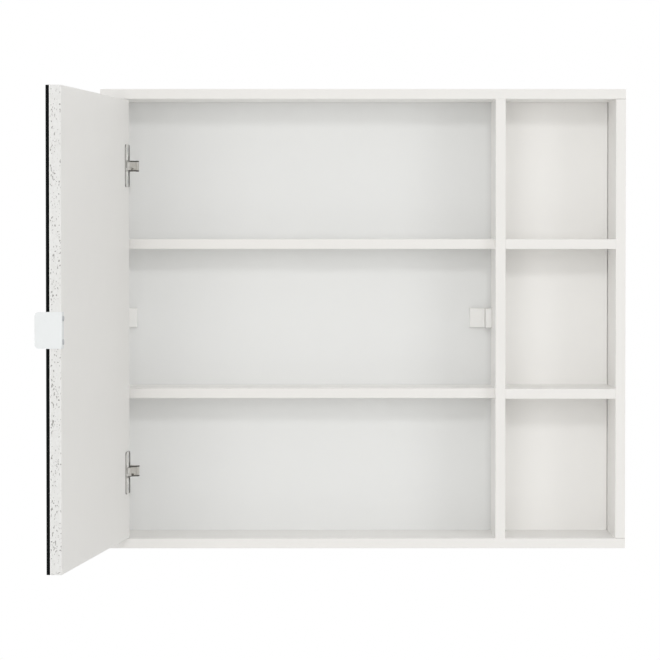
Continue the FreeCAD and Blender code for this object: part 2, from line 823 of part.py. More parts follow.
def hanger_outline(x, margin, near, far):
    middle = hanger_middle()
    half_length = hanger_length / 2 + margin
    half_width = hanger_width / 2 + margin
    return box(x - half_width, x + half_width, near, far, middle - half_length, middle + half_length)


def hanger_screw_seats(x):
    middle = hanger_middle()
    return [Vector(x, 0, middle + sign * hanger_screw_spacing / 2) for sign in (-1, 1)]


def hanger_recess(x):
    # The recess that takes the plate flush, the pocket for the wall screw's head and the screw holes.
    recess = hanger_outline(x, screw_fit, -hanger_sheet, screw_fit)
    room = hanger_entry_radius + hanger_pocket_margin
    pocket = keyhole(x, room, room, -hanger_pocket_depth, 0)
    holes = screw_holes_at(hanger_screw_seats(x), -to_wall, small_screw_radius, small_screw_length)
    return [recess, pocket] + holes


def make_hanger_plate(x):
    sheet = hanger_outline(x, 0, -hanger_sheet, 0)
    corners = [edge for edge in sheet.Edges if along(edge, to_wall)]
    sheet = sheet.makeFillet(hanger_width / 4, corners)
    hole = keyhole(x, hanger_entry_radius, hanger_slot_radius, -2 * hanger_sheet, hanger_sheet)
    screws = screw_holes_at(hanger_screw_seats(x), -to_wall, small_screw_radius, small_screw_length)
    return sheet.cut([hole] + screws)


def make_hanger_screws(x):
    screws = screws_at(hanger_screw_seats(x), -to_wall, small_screw_radius, small_screw_length)
    return Part.makeCompound(screws)


def all_parts():
    parts = {
        "top_panel": make_top_panel(),
        "bottom_panel": make_bottom_panel(),
        "left_side_panel": make_left_side_panel(),
        "right_side_panel": make_right_side_panel(),
        "divider_panel": make_divider_panel(),
        "back_panel": make_back_panel(),
        "door_board": make_door_board(),
        "mirror_tape": make_mirror_tape(),
        "mirror_glass": make_mirror_glass(),
        "door_handle": make_door_handle(),
        "handle_screws": make_handle_screws(),
    }
    for row, level in enumerate(("lower", "upper")):
        parts["left_shelf_" + level] = make_shelf(row, left_inner, compartment_right, left_shelf_setback)
        parts["niche_shelf_" + level] = make_shelf(row, niche_left, right_inner, 0)
        parts["shelf_dowels_" + level] = Part.makeCompound(shelf_dowels(row, 0))
    for level, face, inward in (("top", top_outer, -up), ("bottom", bottom_outer, up)):
        parts["carcass_screws_" + level] = Part.makeCompound(carcass_screws(face, inward, 0))
        caps = [screw_cap(x, y, face, -inward) for x in upright_centres for y in screw_depths]
        parts["screw_caps_" + level] = Part.makeCompound(caps)
    for level, height in hinge_heights.items():
        parts["hinge_cup_" + level] = make_hinge_cup(height)
        parts["cup_pins_" + level] = make_cup_pins(height)
        parts["cup_screws_" + level] = make_cup_screws(height)
        parts["inner_link_" + level] = make_inner_link(height)
        parts["outer_link_" + level] = make_outer_link(height)
        parts["hinge_arm_" + level] = make_hinge_arm(height)
        parts["arm_pins_" + level] = make_arm_pins(height)
        parts["arm_screws_" + level] = make_arm_screws(height)
        parts["mounting_plate_" + level] = make_mounting_plate(height)
        parts["plate_screws_" + level] = make_plate_screws(height)
    for side in bracket_corners:
        parts["corner_bracket_" + side] = make_corner_bracket(side)
        parts["bracket_caps_" + side] = make_bracket_caps(side)
        parts["bracket_screws_" + side] = make_bracket_screws(side)
    for side, x in (("left", upright_centres[0]), ("right", upright_centres[-1])):
        parts["hanger_plate_" + side] = make_hanger_plate(x)
        parts["hanger_screws_" + side] = make_hanger_screws(x)
    return parts


def main():
    os.makedirs("parts", exist_ok=True)
    for name, shape in all_parts().items():
        shape.exportStep("parts/" + name + ".step")
        solids = len(shape.Solids)
        print(name, "solids", solids, "volume", round(shape.Volume, 1), "valid", shape.isValid())


main()
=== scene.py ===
import bpy
import bmesh
import json
import math
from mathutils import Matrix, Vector
from mathutils.geometry import tessellate_polygon


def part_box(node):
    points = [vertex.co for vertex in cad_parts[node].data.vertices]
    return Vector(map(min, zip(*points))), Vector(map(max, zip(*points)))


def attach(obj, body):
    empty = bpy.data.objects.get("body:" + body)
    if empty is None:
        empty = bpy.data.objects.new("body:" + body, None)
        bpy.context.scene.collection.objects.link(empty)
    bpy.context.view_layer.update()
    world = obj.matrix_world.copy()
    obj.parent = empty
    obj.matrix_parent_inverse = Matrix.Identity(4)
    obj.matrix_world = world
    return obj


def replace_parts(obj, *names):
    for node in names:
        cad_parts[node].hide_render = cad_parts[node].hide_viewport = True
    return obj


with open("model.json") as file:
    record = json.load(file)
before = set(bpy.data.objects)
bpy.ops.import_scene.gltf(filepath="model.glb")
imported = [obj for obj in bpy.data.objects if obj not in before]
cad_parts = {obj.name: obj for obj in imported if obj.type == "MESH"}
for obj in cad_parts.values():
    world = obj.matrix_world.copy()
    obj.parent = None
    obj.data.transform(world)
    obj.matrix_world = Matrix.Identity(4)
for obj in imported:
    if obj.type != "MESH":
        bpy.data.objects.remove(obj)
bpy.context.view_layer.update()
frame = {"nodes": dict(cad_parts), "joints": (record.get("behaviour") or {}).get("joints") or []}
nodes = frame["nodes"]
scene = bpy.context.scene
print("frame loaded:", len(nodes), "nodes")

rightward = Vector((1, 0, 0))
rearward = Vector((0, 1, 0))
upward = Vector((0, 0, 1))
levelOnly = (1.0, 1.0, 0.0)  # takes the height out of a place
doorTurn = math.radians(-96.0)  # the door's turn from closed to rest
doorInward = Vector((-math.sin(doorTurn), math.cos(doorTurn), 0))  # out of the door's inner face
doorAlong = Vector((math.cos(doorTurn), math.sin(doorTurn), 0))  # from the hinge edge to the free edge
doorEdge = min(vertex.co.dot(doorAlong) for vertex in nodes["door_board"].data.vertices)
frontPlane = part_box("top_panel")[0].y
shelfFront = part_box("left_shelf_upper")[0].y
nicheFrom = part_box("divider_panel")[1].x


# shader arithmetic

class Wire:  # a socket that takes part in plain sums
    def __init__(self, paint, socket):
        self.paint = paint
        self.socket = socket

    def combine(self, operation, first, second):
        isVector = self.socket.type in ("VECTOR", "RGBA")
        kind = "ShaderNodeVectorMath" if isVector else "ShaderNodeMath"
        return self.paint.add(kind, {"operation": operation}, {0: first, 1: second})

    def __add__(self, other):
        return self.combine("ADD", self, other)

    def __radd__(self, other):
        return self.combine("ADD", other, self)

    def __sub__(self, other):
        return self.combine("SUBTRACT", self, other)

    def __rsub__(self, other):
        return self.combine("SUBTRACT", other, self)

    def __mul__(self, other):
        return self.combine("MULTIPLY", self, other)

    def __rmul__(self, other):
        return self.combine("MULTIPLY", other, self)

    def __pow__(self, other):
        return self.combine("POWER", self, other)

    def __abs__(self):
        return self.paint.add("ShaderNodeMath", {"operation": "ABSOLUTE"}, {0: self})

    def dot(self, direction):
        settings = {"operation": "DOT_PRODUCT"}
        return self.paint.add("ShaderNodeVectorMath", settings, {0: self, 1: direction}, "Value")

    def length(self):
        return self.paint.add("ShaderNodeVectorMath", {"operation": "LENGTH"}, {0: self}, "Value")

    def step(self, low, high):  # 0 below low, 1 above high, smooth between
        settings = {"interpolation_type": "SMOOTHSTEP"}
        inputs = {"Value": self, "From Min": low, "From Max": high}
        return self.paint.add("ShaderNodeMapRange", settings, inputs)

    def fade(self, low, high):
        return 1 - self.step(low, high)


class Paint:  # the nodes of one material, or of the world
    def __init__(self, name, store=bpy.data.materials):
        self.block = store.new(name)
        self.block.use_nodes = True
        self.tree = self.block.node_tree
        self.shader = self.tree.nodes.get("Principled BSDF")
        self.place = self.add("ShaderNodeTexCoord", out="Object" if self.shader else "Generated")
        self.facing = self.add("ShaderNodeTexCoord", out="Normal")

    def fill(self, socket, value):
        if isinstance(value, Wire):
            self.tree.links.new(value.socket, socket)
        elif socket.type == "RGBA":
            socket.default_value = (*value, 1)
        elif socket.type == "VECTOR" and not hasattr(value, "__len__"):
            socket.default_value = (value, value, value)
        else:
            socket.default_value = value

    def add(self, kind, settings=None, inputs=None, out=0):
        node = self.tree.nodes.new(kind)
        for key, value in (settings or {}).items():
            setattr(node, key, value)
        for key, value in (inputs or {}).items():
            self.fill(node.inputs[key], value)
        return Wire(self, node.outputs[out])

    def blend(self, factor, first, second):  # the numbers are a Mix node's colour sockets
        return self.add("ShaderNodeMix", {"data_type": "RGBA"}, {0: factor, 6: first, 7: second}, 2)

    def noise(self, scale, detail=3.0, rough=0.5, stretch=None):
        place = self.place if stretch is None else self.place * stretch
        inputs = {"Vector": place, "Scale": scale, "Detail": detail, "Roughness": rough}
        return self.add("ShaderNodeTexNoise", None, inputs)

    def chips(self, scale, stretch=None, out="Color"):
        place = self.place if stretch is None else self.place * stretch
        return self.add("ShaderNodeTexVoronoi", None, {"Vector": place, "Scale": scale}, out)

    def bump(self, height, distance=1.0):
        inputs = {"Height": height, "Distance": distance, "Strength": 1.0}
        return self.add("ShaderNodeBump", None, inputs)

    def finish(self, **sockets):
        for key, value in sockets.items():
            spaced = "".join(" " + letter if letter.isupper() else letter for letter in key).strip()
            self.fill(self.shader.inputs[spaced.replace("I O R", "IOR")], value)
        return self.block


# pressed wood of the raw edges and backs

flake = {
    "size": 430.0, "lie": (1.0, 1.0, 0.55),  # flakes lie along the board
    "weights": (0.4, 0.35, 0.25), "warmFrom": (0.25, 0.85), "driftSize": 150.0,
}
speck = {"groupSize": 48.0, "groupSpread": 0.3, "soft": 0.07}
chipboard = {
    "pale": (0.72, 0.70, 0.665), "warm": (0.60, 0.565, 0.51), "dark": (0.34, 0.31, 0.27),
    "speckSize": 760.0, "speckFrom": 0.60, "depth": 0.00012,
}
hardboard = {
    **chipboard,
    "pale": (0.46, 0.36, 0.255), "warm": (0.38, 0.29, 0.20), "dark": (0.22, 0.16, 0.105),
}
doorChips = {
    "pale": (0.735, 0.732, 0.72), "warm": (0.695, 0.69, 0.673), "dark": (0.21, 0.20, 0.19),
    "speckSize": 540.0, "speckFrom": 0.632, "depth": 0.00006,
}


def chipColour(paint, wood):
    # pale flakes, some warmer, and small dark specks that gather in loose groups
    flakes = paint.chips(flake["size"], flake["lie"]).dot(flake["weights"])
    gathered = paint.noise(speck["groupSize"], 2.0) * speck["groupSpread"] - speck["groupSpread"] / 2
    specks = paint.noise(wood["speckSize"], 1.0, 0.5, flake["lie"]) + gathered
    specks = specks.step(wood["speckFrom"], wood["speckFrom"] + speck["soft"])
    drift = paint.noise(flake["driftSize"], 2.0)
    warmth = 0.75 * flakes.step(*flake["warmFrom"]) + 0.2 * drift
    colour = paint.blend(warmth, wood["pale"], wood["warm"])
    colour = paint.blend(specks * 0.8, colour, wood["dark"])
    return colour, (0.6 * flakes - specks) * wood["depth"]


# white boards

melamine = {
    "colour": (0.94, 0.93, 0.912), "shade": (0.92, 0.91, 0.892), "band": (0.790, 0.776, 0.752),
    "cloudSize": 5.5, "cloudGloss": 0.05, "smudgeSize": 21.0, "smudgeRougher": 0.10,
    "roughness": 0.42, "rawRougher": 0.4, "peelSize": 520.0, "peelDepth": 0.00003,
    "bandFacing": (0.5, 0.8), "rearFacing": (0.7, 0.9),
}
seamLine = {  # where the edge band ends
    "colour": (0.52, 0.51, 0.48), "strength": 0.35, "fromEdge": 0.0009,
    "width": (0.00012, 0.00030), "depth": 0.00004,
}
buttJoint = {"colour": (0.2, 0.195, 0.185), "width": (0.0004, 0.0005)}
# painted light and shade: the compartment's back is painted darker and cooler than the niche's, for how
# the light falls in each
backLightTint = {"compartment": (0.862, 0.876, 0.885), "niche": (1.0, 1.0, 0.997), "change": 0.001}


def whiteFace(paint, face):
    # clouded white with faint smudges, and its roughness
    cloud = paint.noise(melamine["cloudSize"], 4.0, 0.55)
    smudge = paint.noise(face["smudgeSize"], 3.0, 0.6)
    white = paint.blend(cloud * 0.55 + smudge * 0.35, face["colour"], face["shade"])
    rough = melamine["roughness"] + smudge * melamine["smudgeRougher"] - cloud * face["cloudGloss"]
    return white, rough


def peelHeight(paint, raw):  # fine waves of the coating, and none where the wood is raw
    return paint.noise(melamine["peelSize"], 2.0, 0.5) * melamine["peelDepth"] * (1 - raw)


def boardPaint(name, rearWood=chipboard, frontEdge=frontPlane, tint=None, banded=True, ends=()):
    paint = Paint(name)
    white, rough = whiteFace(paint, melamine)
    if tint:  # painted light and shade: the back is painted darker and cooler in the compartment than in the niche
        inNiche = paint.place.dot(rightward).step(nicheFrom, nicheFrom + tint["change"])
        white = white * paint.blend(inNiche, tint["compartment"], tint["niche"])
    band = paint.facing.dot(-rearward).step(*melamine["bandFacing"])  # edge band on the front
    if banded:
        white = paint.blend(band, white, melamine["band"])
    seam = abs(paint.place.dot(rearward) - (frontEdge + seamLine["fromEdge"])).fade(*seamLine["width"])
    white = paint.blend(seam * seamLine["strength"], white, seamLine["colour"])
    for end in ends:  # dark joint where the board butts against another
        butted = abs(paint.place.dot(upward) - end).fade(*buttJoint["width"])
        white = paint.blend(butted * band, white, buttJoint["colour"])
    rear = paint.facing.dot(rearward).step(*melamine["rearFacing"])
    rearColour, relief = chipColour(paint, rearWood)
    colour = paint.blend(rear, white, rearColour)
    height = peelHeight(paint, rear) + relief * rear - seam * seamLine["depth"]
    return paint.finish(BaseColor=colour, Roughness=rough + rear * melamine["rawRougher"],
                        Normal=paint.bump(height))


doorBoard = {
    "colour": (0.824, 0.812, 0.789), "shade": (0.802, 0.791, 0.769), "smudgeSize": 24.0, "cloudGloss": 0.0,
    "edgeFacing": (0.35, 0.75), "rawRougher": 0.22,
}


def doorBoardPaint():
    paint = Paint("doorBoardWhite")
    edge = abs(paint.facing.dot(doorInward)).fade(*doorBoard["edgeFacing"])
    white, rough = whiteFace(paint, doorBoard)
    edgeColour, relief = chipColour(paint, doorChips)
    height = peelHeight(paint, edge) + relief * edge
    return paint.finish(BaseColor=paint.blend(edge, white, edgeColour),
                        Roughness=rough + edge * doorBoard["rawRougher"], Normal=paint.bump(height))


# mirror and its adhesive

mirror = {
    "silver": (0.90, 0.925, 0.915), "haze": (0.80, 0.83, 0.82), "bevel": (0.05, 0.065, 0.062),
    "edge": (0.002, 0.003, 0.003), "roughness": 0.012, "groundRougher": 0.22,
    "faceFacing": (0.85, 0.97), "bevelFacing": (0.25, 0.6),
    "hazeSize": 3.0, "wipeSize": 9.0, "wipeAlong": (1.0, 1.0, 0.35), "wipeFrom": (0.52, 0.75),
    "grindSize": 1500.0, "grindDepth": 0.00003,
}


def mirrorPaint():
    paint = Paint("mirrorSilver")
    outward = paint.facing.dot(-doorInward)
    face = outward.step(*mirror["faceFacing"])
    bevel = outward.step(*mirror["bevelFacing"]) - face
    ground = 1 - face
    haze = paint.noise(mirror["hazeSize"], 4.0, 0.6)
    wipe = paint.noise(mirror["wipeSize"], 5.0, 0.7, mirror["wipeAlong"]).step(*mirror["wipeFrom"])
    grind = paint.noise(mirror["grindSize"], 2.0, 0.6)
    colour = paint.blend(face, paint.blend(bevel, mirror["edge"], mirror["bevel"]), mirror["silver"])
    colour = paint.blend(haze * 0.06 * face, colour, mirror["haze"])
    rough = mirror["roughness"] + wipe * 0.022 + ground * (mirror["groundRougher"] + grind * 0.18)
    height = grind * ground * mirror["grindDepth"]
    return paint.finish(BaseColor=colour, Metallic=face * 0.999 + bevel * 0.3, Roughness=rough,
                        Normal=paint.bump(height), SpecularIORLevel=0.08)


adhesive = {
    "pale": (0.93, 0.925, 0.91), "shade": (0.88, 0.875, 0.86), "roughness": 0.78,
    "mottleSize": 260.0, "poreSize": 1400.0, "poreDepth": 0.00012,
}


def adhesivePaint():
    paint = Paint("adhesiveFoam")
    pores = paint.chips(adhesive["poreSize"], out="Distance")
    mottle = paint.noise(adhesive["mottleSize"], 3.0)
    colour = paint.blend(mottle * 0.6, adhesive["pale"], adhesive["shade"])
    return paint.finish(BaseColor=colour, Roughness=adhesive["roughness"] + mottle * 0.12,
                        Normal=paint.bump(pores, adhesive["poreDepth"]))


# handle, brackets and caps

enamel = {
    "colour": (0.757, 0.775, 0.777), "worn": (0.733, 0.751, 0.753), "roughness": 0.30,
    "cloudSize": 30.0, "rubSize": 210.0, "rubFrom": (0.56, 0.72), "peelSize": 640.0, "peelDepth": 0.00004,
}


def enamelPaint():
    paint = Paint("handleEnamel")
    peel = paint.noise(enamel["peelSize"], 2.0, 0.45)
    cloud = paint.noise(enamel["cloudSize"], 3.0)
    rubbed = paint.noise(enamel["rubSize"], 4.0, 0.65).step(*enamel["rubFrom"])
    colour = paint.blend(cloud * 0.5 + rubbed * 0.25, enamel["colour"], enamel["worn"])
    rough = enamel["roughness"] + rubbed * 0.12 + cloud * 0.05
    return paint.finish(BaseColor=colour, Roughness=rough, CoatWeight=0.25,
                        Normal=paint.bump(peel, enamel["peelDepth"]))


plastic = {
    "colour": (0.885, 0.878, 0.86), "flow": (0.85, 0.843, 0.825), "roughness": 0.44,
    "flowSize": 60.0, "flowAlong": (1.0, 1.0, 0.3), "grainSize": 1900.0, "grainDepth": 0.00005,
}


def plasticPaint():
    paint = Paint("mouldedPlastic")
    grain = paint.noise(plastic["grainSize"], 3.0, 0.6)
    flow = paint.noise(plastic["flowSize"], 4.0, 0.6, plastic["flowAlong"])
    colour = paint.blend(flow * 0.7, plastic["colour"], plastic["flow"])
    return paint.finish(BaseColor=colour, Roughness=plastic["roughness"] + grain * 0.10,
                        Normal=paint.bump(grain, plastic["grainDepth"]), SpecularIORLevel=0.45)


# plated steel

nickelPlate = {
    "bright": (0.68, 0.661, 0.627), "dull": (0.55, 0.53, 0.496), "stain": (0.37, 0.35, 0.315),
    "roughness": 0.36, "drawn": (0.12, 0.12, 1.0),  # how the drawing lines are stretched
}
cupPlate = {
    **nickelPlate,
    "bright": (0.80, 0.785, 0.755), "dull": (0.70, 0.68, 0.65), "roughness": 0.10,
}
zincPlate = {
    "bright": (0.63, 0.64, 0.66), "dull": (0.47, 0.48, 0.50), "stain": (0.30, 0.29, 0.27),
    "roughness": 0.30, "drawn": (1.0, 1.0, 0.3),
}
drawnSteel = {
    "bright": (0.55, 0.55, 0.55), "dull": (0.42, 0.42, 0.42), "stain": (0.22, 0.21, 0.20),
    "roughness": 0.22, "drawn": (1.0, 1.0, 0.1),
}
plating = {
    # shadeColour is the near-black used for painted shade on the hinges
    "satin": (0.82, 0.81, 0.785), "shadeColour": (0.035, 0.033, 0.03), "lineSize": 900.0, "lineDepth": 0.00002,
    "bloomSize": 140.0, "spotSize": 420.0, "spotFrom": (0.62, 0.74),
}


def platedPaint(name, metal, paintedShade=None, satin=None):
    # fine drawing lines, a dull bloom and a few stains
    paint = Paint(name)
    lines = paint.noise(plating["lineSize"], 3.0, 0.6, metal["drawn"])
    bloom = paint.noise(plating["bloomSize"], 4.0, 0.6)
    spots = paint.noise(plating["spotSize"], 3.0, 0.7).step(*plating["spotFrom"])
    colour = paint.blend(bloom * 0.6 + lines * 0.3, metal["bright"], metal["dull"])
    colour = paint.blend(spots * 0.4, colour, metal["stain"])
    rough = metal["roughness"] + bloom * 0.12 + spots * 0.15 + lines * 0.06
    metallic = 1.0
    # painted shade: where the mask says, the plating is blended towards near-black and made less metallic
    if paintedShade:
        shadeMask = paintedShade(paint)
        colour = paint.blend(shadeMask * 0.95, colour, plating["shadeColour"])
        rough = rough + shadeMask * 0.45
        metallic = 1 - shadeMask * 0.9
    if satin:
        dulled = satin(paint)
        colour = paint.blend(dulled, colour, plating["satin"])
        rough = rough + dulled * 0.3
        metallic = metallic * (1 - dulled * 0.75)
    return paint.finish(BaseColor=colour, Metallic=metallic, Roughness=rough,
                        Normal=paint.bump(lines, plating["lineDepth"]))


# painted shade on the hinges, and their satin parts

hinge = {  # pairs say where a mark begins to fade and where it ends
    "cupFromEdge": 0.0205,  # the cup's middle from the door's hinge edge
    "armInside": (0.0060, 0.0064), "armCheeks": (0.0065, 0.0066),  # heights from the hinge's middle
    "slotHeight": (0.0112, 0.0120), "slotReach": 0.001,
    "hollow": (0.0166, 0.0170), "rim": (0.0180, 0.0183),  # distances from the cup's middle
    "lipDepth": (0.0014, 0.0020), "lipReach": 0.004,
    "film": (0.0135, 0.0175), "shadeBandWander": 0.004, "shadeBandSize": 160.0,  # from the door's hinge edge
    "linkEye": (0.0040, 0.0055),  # distances from the pivot in the cup
    "cutFacing": (0.35, 0.7), "rimFacing": (0.3, 0.6), "flatFacing": (0.6, 0.9),
}
cupHeights = [sum(corner.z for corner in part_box("hinge_cup_" + end)) / 2 for end in ("lower", "upper")]
hingeMiddle = sum(cupHeights) / 2
hingeSpread = max(cupHeights) - hingeMiddle  # each hinge's distance from that height
cupFace = max(vertex.co.dot(doorInward) for vertex in nodes["hinge_cup_upper"].data.vertices)
cupPivot = Vector(next(joint["pos_m"] for joint in frame["joints"] if joint["name"] == "door_swing"))


def squared(sizes):
    return [size ** 2 for size in sizes]


def fromHinge(paint):  # height above or below the nearer hinge
    return abs(abs(paint.place.dot(upward) - hingeMiddle) - hingeSpread)


def fromDoorEdge(paint):
    return paint.place.dot(doorAlong) - doorEdge


def fromCupSquared(paint):
    return (fromDoorEdge(paint) - hinge["cupFromEdge"]) ** 2 + fromHinge(paint) ** 2


def linkSide(paint, reach):  # the half of the cup where the links come out
    return fromDoorEdge(paint).fade(hinge["cupFromEdge"] - reach, hinge["cupFromEdge"])


def cheekEdgeShade(paint):  # painted shade: dark lines on the cut edges of the arm's two cheeks, for the shaded gaps beside the links
    cut = abs(paint.facing.dot(upward)).fade(*hinge["cutFacing"])
    return fromHinge(paint).step(*hinge["armCheeks"]) * cut


def betweenCheeks(paint):
    return fromHinge(paint).fade(*hinge["armInside"])


def cupHollow(paint):
    return fromCupSquared(paint).fade(*squared(hinge["hollow"]))


def lipShade(paint):  # painted shade: the hollow's lip, on the links' side, darkened where it lies in shade
    depth = cupFace - paint.place.dot(doorInward)
    return cupHollow(paint) * depth.fade(*hinge["lipDepth"]) * linkSide(paint, hinge["lipReach"])


# the hollow without its painted-shade lip
def hollowPastLip(paint):
    return cupHollow(paint) - lipShade(paint)


def flangeShade(paint):
    # painted shade: a dark cut rim on the cup's flange, darkest at its ends, a dark band on the flange
    # beside the links, and part of the shaded lip
    flat = abs(paint.facing.dot(doorInward))
    ends = abs(paint.facing.dot(upward))
    outside = fromCupSquared(paint).step(*squared(hinge["rim"]))
    inSlot = fromHinge(paint).fade(*hinge["slotHeight"]) * linkSide(paint, hinge["slotReach"])
    wander = paint.noise(hinge["shadeBandSize"], 3.0) * hinge["shadeBandWander"]
    film = (fromDoorEdge(paint) + wander).fade(*hinge["film"]) * flat.step(*hinge["flatFacing"])
    rim = flat.fade(*hinge["rimFacing"]) * outside * (1 - inSlot) * (0.6 + ends * 0.4)
    return rim + film * 0.95 + lipShade(paint) * 0.4


def linkEyes(paint):  # the ends of the links that turn in the cup
    return ((paint.place - cupPivot) * levelOnly).length().fade(*hinge["linkEye"])


# dowels

dowel = {
    "pale": (0.58, 0.40, 0.235), "dark": (0.44, 0.285, 0.155), "fleck": (0.30, 0.18, 0.09),
    "roughness": 0.62, "grainSize": 180.0, "grainAlong": (0.08, 1.0, 1.0), "grainDepth": 0.0001,
    "fleckSize": 700.0, "fleckAlong": (0.2, 1.0, 1.0), "fleckFrom": (0.55, 0.7),
}


def dowelPaint():
    paint = Paint("beechDowel")
    grain = paint.noise(dowel["grainSize"], 4.0, 0.6, dowel["grainAlong"])
    flecks = paint.noise(dowel["fleckSize"], 2.0, 0.6, dowel["fleckAlong"]).step(*dowel["fleckFrom"])
    colour = paint.blend(grain, dowel["pale"], dowel["dark"])
    colour = paint.blend(flecks * 0.4, colour, dowel["fleck"])
    return paint.finish(BaseColor=colour, Roughness=dowel["roughness"] + grain * 0.15,
                        Normal=paint.bump(grain, dowel["grainDepth"]))


# every node's finish

boardWhite = boardPaint("boardWhite")
sideWhite = boardPaint("sideWhite", ends=[corner.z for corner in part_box("right_side_panel")])
shelfWhite = boardPaint("shelfWhite", frontEdge=shelfFront)
backWhite = boardPaint("backPanelWhite", hardboard, tint=backLightTint, banded=False)
doorWhite = doorBoardPaint()
mirrorSilver = mirrorPaint()
adhesiveFoam = adhesivePaint()
handleEnamel = enamelPaint()
mouldedPlastic = plasticPaint()
nickel = platedPaint("nickelPlate", nickelPlate)
linkNickel = platedPaint("linkNickel", nickelPlate, satin=linkEyes)
armNickel = platedPaint("armNickel", nickelPlate, cheekEdgeShade, betweenCheeks)
cupNickel = platedPaint("cupNickel", cupPlate, flangeShade, hollowPastLip)
zinc = platedPaint("zincPlate", zincPlate)
pinSteel = platedPaint("drawnSteel", drawnSteel)
beech = dowelPaint()
print("finishes made:", len(bpy.data.materials))

finishOf = {  # the first words of a node's name, and its finish
    "left_shelf": shelfWhite, "niche_shelf": boardWhite, "shelf_dowels": beech,
    "top_panel": boardWhite, "bottom_panel": boardWhite, "left_side": sideWhite, "right_side": sideWhite,
    "divider": boardWhite, "back_panel": backWhite, "door_board": doorWhite, "mirror_glass": mirrorSilver,
    "mirror_tape": adhesiveFoam, "door_handle": handleEnamel, "screw_caps": mouldedPlastic,
    "corner_bracket": mouldedPlastic, "bracket_caps": mouldedPlastic,
    "hinge_cup": cupNickel, "hinge_arm": armNickel, "inner_link": linkNickel, "outer_link": linkNickel,
    "mounting_plate": nickel, "cup_pins": pinSteel, "arm_pins": pinSteel,
    "hanger_plate": zinc, "carcass_screws": zinc, "bracket_screws": zinc, "arm_screws": zinc,
    "cup_screws": zinc, "plate_screws": zinc, "hanger_screws": zinc, "handle_screws": zinc,
}


def dress(piece, finish):
    piece.data.materials.clear()
    piece.data.materials.append(finish)


for name, node in nodes.items():
    start = next(key for key in finishOf if name.startswith(key))
    dress(node, finishOf[start])
print("finishes given to every node")


# softened edges of the metal pieces and the adhesive

softEdges = {
    "hinge_": 0.00018, "inner_link": 0.00015, "outer_link": 0.00015, "mounting_plate": 0.00025,
    "door_handle": 0.00030, "hanger_plate": 0.00015, "mirror_tape": 0.00015,
}
softFrom = math.radians(40)  # corners sharper than this are softened
weldWithin = 0.000001


def soften(node, width):
    weld = node.modifiers.new("joinFaces", "WELD")
    weld.merge_threshold = weldWithin
    bevel = node.modifiers.new("softEdge", "BEVEL")
    bevel.width = width
    bevel.segments = 2
    bevel.limit_method = "ANGLE"
    bevel.angle_limit = softFrom
    bevel.use_clamp_overlap = True
    bevel.harden_normals = False


for name, node in nodes.items():
    for start, width in softEdges.items():
        if name.startswith(start):
            soften(node, width)
print("edges softened")


# turned pieces

sharpFrom = math.radians(35)  # smooth shading stops at sharper edges


def islandsOf(node):
    # the separate solids of a node, as lists of points
    mesh = nodes[node].data
    keyOf = {}
    parent = {}

    def root(item):
        while parent[item] != item:
            item = parent[item]
        return item

    for vertex in mesh.vertices:
        key = tuple(round(value, 6) for value in vertex.co)
        keyOf[vertex.index] = key
        parent.setdefault(key, key)
    for edge in mesh.edges:
        first, second = (root(keyOf[index]) for index in edge.vertices)
        parent[first] = second
    groups = {}
    for key in parent:
        groups.setdefault(root(key), []).append(Vector(key))
    return [groups[key] for key in sorted(groups)]


def axesFor(outward):
    side = outward.orthogonal().normalized()
    return side, outward.cross(side)


def latheRings(mesh, centre, outward, profile, count):
    # rings of points about an axis, from (radius, height) pairs
    side, other = axesFor(outward)
    rings = []
    for radius, height in profile:
        ring = []
        for index in range(count):
            angle = 2 * math.pi * index / count
            spoke = side * math.cos(angle) + other * math.sin(angle)
            ring.append(mesh.verts.new(centre + spoke * radius + outward * height))
        rings.append(ring)
    return rings


def joinRings(mesh, rings):
    for first, second in zip(rings, rings[1:]):
        for index in range(len(first)):
            after = (index + 1) % len(first)
            mesh.faces.new((first[index], first[after], second[after], second[index]))


def pieceFrom(mesh, name, finish, body):
    bmesh.ops.recalc_face_normals(mesh, faces=mesh.faces)
    data = bpy.data.meshes.new(name)
    mesh.to_mesh(data)
    mesh.free()
    piece = bpy.data.objects.new(name, data)
    scene.collection.objects.link(piece)
    dress(piece, finish)
    data.shade_smooth()
    data.set_sharp_from_angle(angle=sharpFrom)
    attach(piece, body)
    return piece


# screws with their real heads, in place of the plain ones

screwHead = {
    "around": 40, "rimShare": 0.97, "edgeShare": 0.995, "edgeDrop": 0.03,
    "crossReach": 0.60, "crossWidth": 0.17, "crossDepth": 0.75, "crossTaper": 0.55,
}
roundHead = {
    "rise": 0.0016, "domeShare": 0.7, "domeSteps": 6, "flatShare": 0.62, "crossShare": 0.72,
    "shankRadius": 0.0015,
}
thread = {
    "pitch": 0.0011, "rootShare": 0.80, "rootFrom": 0.35, "rootTo": 0.6,
    "neckShare": 0.78, "pointShare": 0.22,
}
tipWithin = 0.00002  # points this near the end belong to the tip


def threadedShank(shankRadius, start, length):
    # ridges and point of a screw, as (radius, height) pairs below its head
    profile = [(shankRadius, -start)]
    height = -start
    pitch = thread["pitch"]
    rootRadius = shankRadius * thread["rootShare"]
    pointFrom = length - shankRadius
    while height - pitch > -pointFrom:
        profile += [(rootRadius, height - pitch * thread["rootFrom"]),
                    (rootRadius, height - pitch * thread["rootTo"]),
                    (shankRadius, height - pitch)]
        height -= pitch
    return profile + [(shankRadius * thread["neckShare"], -pointFrom),
                      (shankRadius * thread["pointShare"], -length)]


def sunkHead(headRadius, length):
    shankRadius = headRadius / 2
    rim = [(headRadius * screwHead["rimShare"], 0.0),
           (headRadius * screwHead["edgeShare"], -headRadius * screwHead["edgeDrop"])]
    return rim + threadedShank(shankRadius, headRadius - shankRadius, length)


